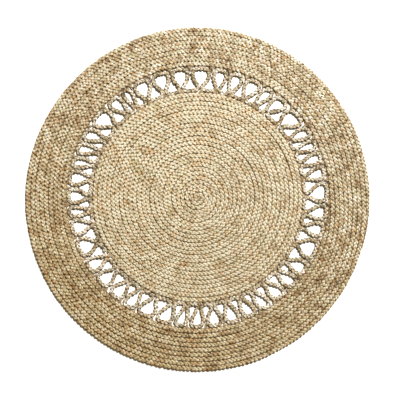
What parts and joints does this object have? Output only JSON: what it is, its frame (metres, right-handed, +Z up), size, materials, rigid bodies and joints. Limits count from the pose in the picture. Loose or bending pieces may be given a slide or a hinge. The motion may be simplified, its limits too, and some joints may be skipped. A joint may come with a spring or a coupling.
{
  "type": "area rug",
  "caption": "Round flat rug of natural jute plait: a coiled centre disc, an openwork ring of looped plait and a wide coiled border, held together with twine.",
  "frame": {"origin": "on the floor, under the middle of the rug's outer edge", "axes": "+Z up from the floor through the rug's thickness; +X and +Y lie in the floor, with +Y towards the side that the disc and the loops are shifted to"},
  "size_m": [1.1996, 1.1997, 0.009],
  "materials": {
    "pale_jute": "matt bleached jute plait",
    "golden_jute": "matt natural jute plait",
    "loop_jute": "matt natural jute plait",
    "brown_twine": "matt jute twine"
  },
  "bodies": {
    "root": {"centre_coil": "pale_jute", "border_coil": "golden_jute", "loop_cord_1": "loop_jute", "loop_cord_2": "loop_jute", "loop_cord_3": "loop_jute", "loop_cord_4": "loop_jute", "splice_wrap_1": "brown_twine", "splice_wrap_2": "brown_twine", "splice_wrap_3": "brown_twine", "splice_wrap_4": "brown_twine", "inner_tacking_twine": "brown_twine", "outer_tacking_twine": "brown_twine"}
  },
  "joints": []
}
